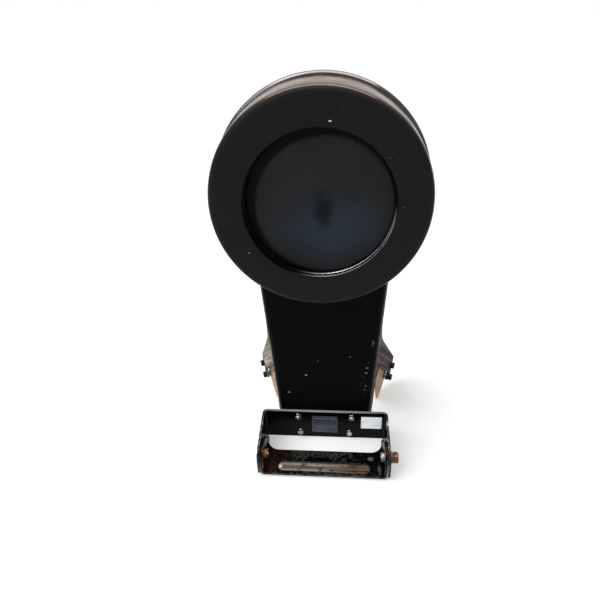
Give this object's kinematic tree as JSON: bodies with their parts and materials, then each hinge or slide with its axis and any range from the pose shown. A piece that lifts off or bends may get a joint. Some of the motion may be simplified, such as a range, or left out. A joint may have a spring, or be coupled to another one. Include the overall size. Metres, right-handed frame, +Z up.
{
  "type": "electronic kick drum pad",
  "caption": "Round rubber kick-drum trigger pad with a recessed strike head on a folded steel tower, with a pedal clamp bracket and rear spurs.",
  "frame": {"origin": "on the floor in the plane of symmetry, half way between the bracket's front and the tower's back", "axes": "+Z up, the player sits towards -Y, +X to the player's right"},
  "size_m": [0.243, 0.2214, 0.5315],
  "materials": {
    "black_steel": "satin black paint, scratched",
    "rim_rubber": "matte moulded rubber",
    "foot_rubber": "matte",
    "head_rubber": "smooth, slightly glossy, blue-black",
    "foam": "open foam",
    "case_plastic": "moulded, fine grain",
    "lead_plastic": "smooth",
    "zinc_steel": "bright zinc plate",
    "spur_steel": "worn yellow zinc plate",
    "brass": "bright",
    "brown_cap": "worn bronze-brown",
    "nylon": "natural nylon",
    "label_blue": "plain foil",
    "sticker_white": "plain paper label"
  },
  "bodies": {
    "tower": {"damping_ring": "rim_rubber", "foam_cushion": "foam", "jack_box": "case_plastic", "jack_nut": "zinc_steel", "label_plate": "label_blue", "output_jack": "zinc_steel", "pad_bolt_1": "zinc_steel", "pad_bolt_2": "zinc_steel", "pad_bolt_3": "zinc_steel", "pad_bolt_4": "zinc_steel", "pad_nut_1": "zinc_steel", "pad_nut_2": "zinc_steel", "pad_nut_3": "zinc_steel", "pad_nut_4": "zinc_steel", "pedal_bracket": "black_steel", "piezo_cone": "foam", "piezo_sensor": "brass", "pivot_bolt_left": "zinc_steel", "pivot_bolt_right": "brown_cap", "pivot_nut_left": "zinc_steel", "pivot_nut_right": "zinc_steel", "pivot_washer_left": "nylon", "pivot_washer_right": "nylon", "rear_case": "case_plastic", "rim_ring": "rim_rubber", "sensor_lead": "lead_plastic", "sensor_plate": "zinc_steel", "spur_bolt_left_lower": "black_steel", "spur_bolt_left_upper": "black_steel", "spur_bolt_right_lower": "black_steel", "spur_bolt_right_upper": "black_steel", "spur_nut_left_lower": "zinc_steel", "spur_nut_left_upper": "zinc_steel", "spur_nut_right_lower": "zinc_steel", "spur_nut_right_upper": "zinc_steel", "spur_spacer_left_lower": "zinc_steel", "spur_spacer_left_upper": "zinc_steel", "spur_spacer_right_lower": "zinc_steel", "spur_spacer_right_upper": "zinc_steel", "sticker_plate": "sticker_white", "tower": "black_steel", "tower_foot_left": "foot_rubber", "tower_foot_right": "foot_rubber", "web_bolt_1": "zinc_steel", "web_bolt_2": "zinc_steel", "web_bolt_3": "zinc_steel", "web_bolt_4": "zinc_steel", "web_nut_1": "zinc_steel", "web_nut_2": "zinc_steel", "web_nut_3": "zinc_steel", "web_nut_4": "zinc_steel"},
    "pedal_plate": {"pedal_plate": "black_steel"},
    "strike_head": {"strike_head": "head_rubber"},
    "spur_left": {"spur_left": "spur_steel"},
    "spur_right": {"spur_right": "spur_steel"}
  },
  "joints": [
    {"name": "pedal_plate_tilt", "type": "hinge", "parent": "tower", "child": "pedal_plate", "pos_m": [0, -0.08765, 0.024], "axis": [1, 0, 0], "range_deg": [-3, 7]},
    {"name": "head_press", "type": "slide", "parent": "tower", "child": "strike_head", "axis": [0, 1, 0], "range_m": [0, 0.003], "stiffness_N_per_m": 8000},
    {"name": "spur_left_slide", "type": "slide", "parent": "tower", "child": "spur_left", "axis": [-0.0555, 0, 0.9985], "range_m": [-0.005, 0.005]},
    {"name": "spur_right_slide", "type": "slide", "parent": "tower", "child": "spur_right", "axis": [0.0555, 0, 0.9985], "range_m": [-0.005, 0.005]}
  ]
}
